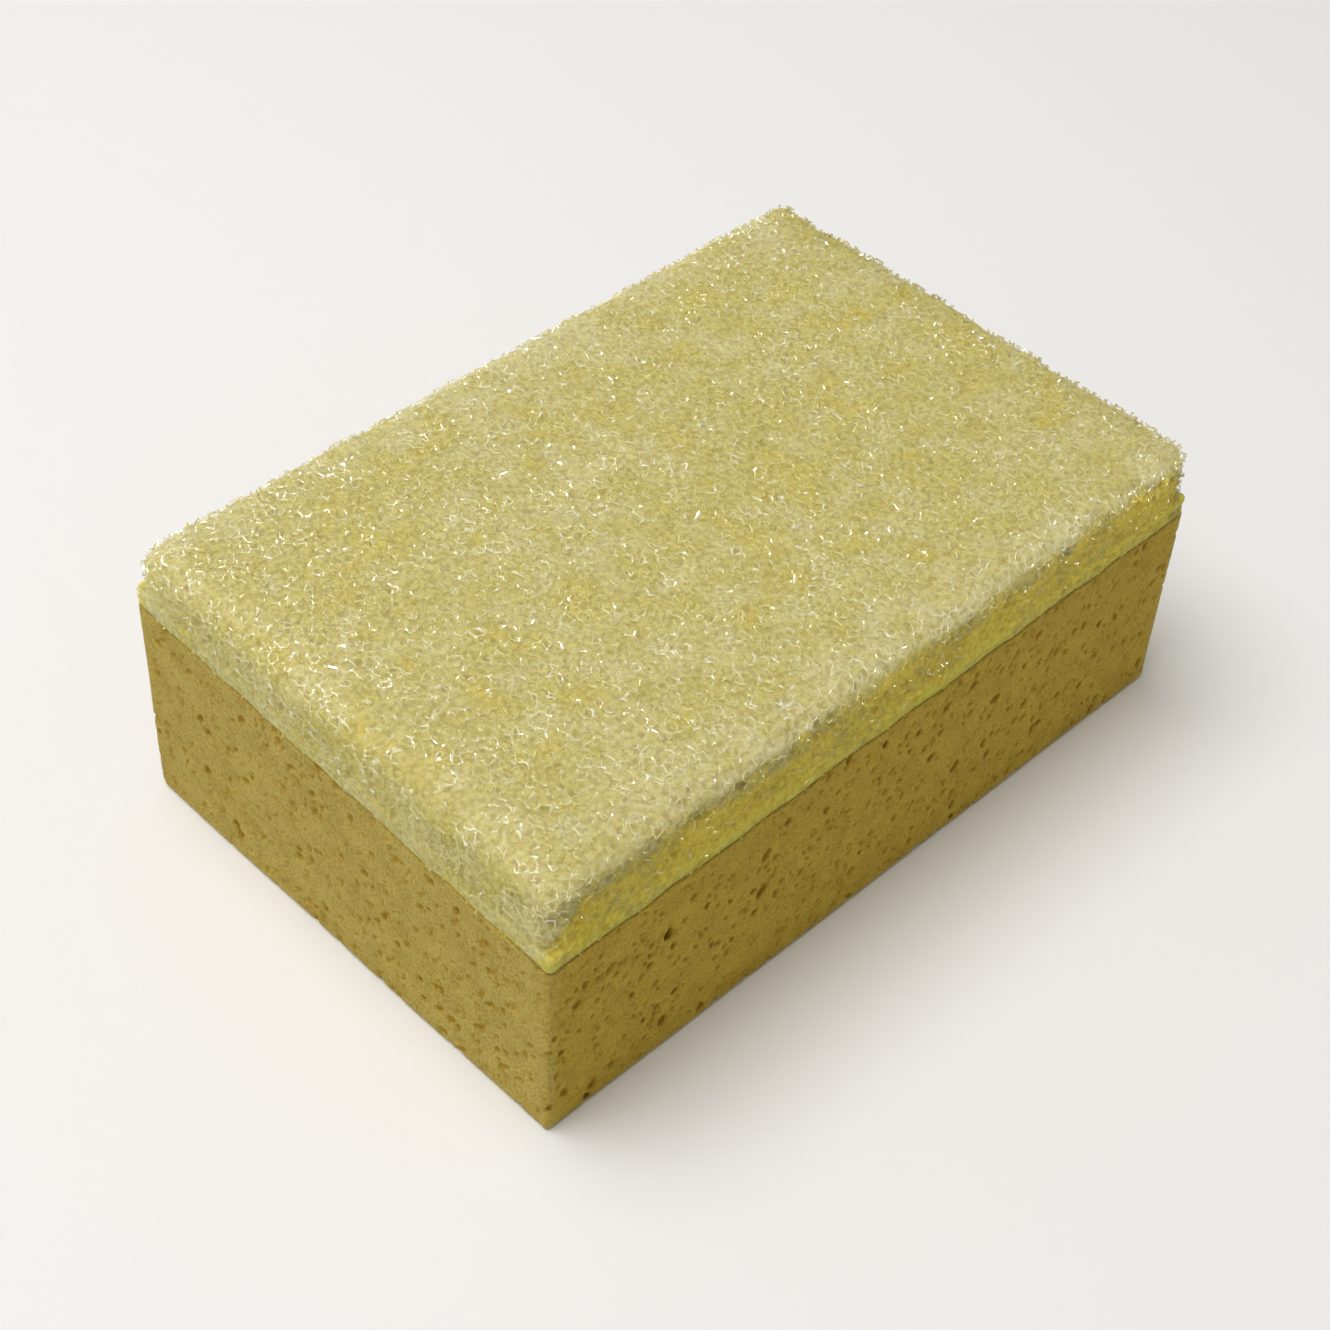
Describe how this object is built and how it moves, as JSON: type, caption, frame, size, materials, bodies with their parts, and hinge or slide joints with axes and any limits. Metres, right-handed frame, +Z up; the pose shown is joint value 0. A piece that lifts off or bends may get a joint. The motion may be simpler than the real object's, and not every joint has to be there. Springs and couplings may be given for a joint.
{
  "type": "grout scrub sponge",
  "caption": "Rectangular hand sponge for cleaning tile grout, a fine-pored sponge block with a coarse open-cell scrub pad bonded over its top face.",
  "frame": {"origin": "middle of the sponge block's base, on the surface it lies on", "axes": "+X along the length, +Y across the width, +Z up from the sponge block to the scrub pad"},
  "size_m": [0.165, 0.109, 0.0615],
  "materials": {
    "sponge": "matt fine-pored yellow foam",
    "adhesive": "satin amber contact adhesive, patchy",
    "scrub_foam": "glossy, translucent off-white open-cell struts"
  },
  "bodies": {
    "root": {"sponge_block": "sponge", "adhesive_film": "adhesive", "scrub_pad": "scrub_foam"}
  },
  "joints": []
}
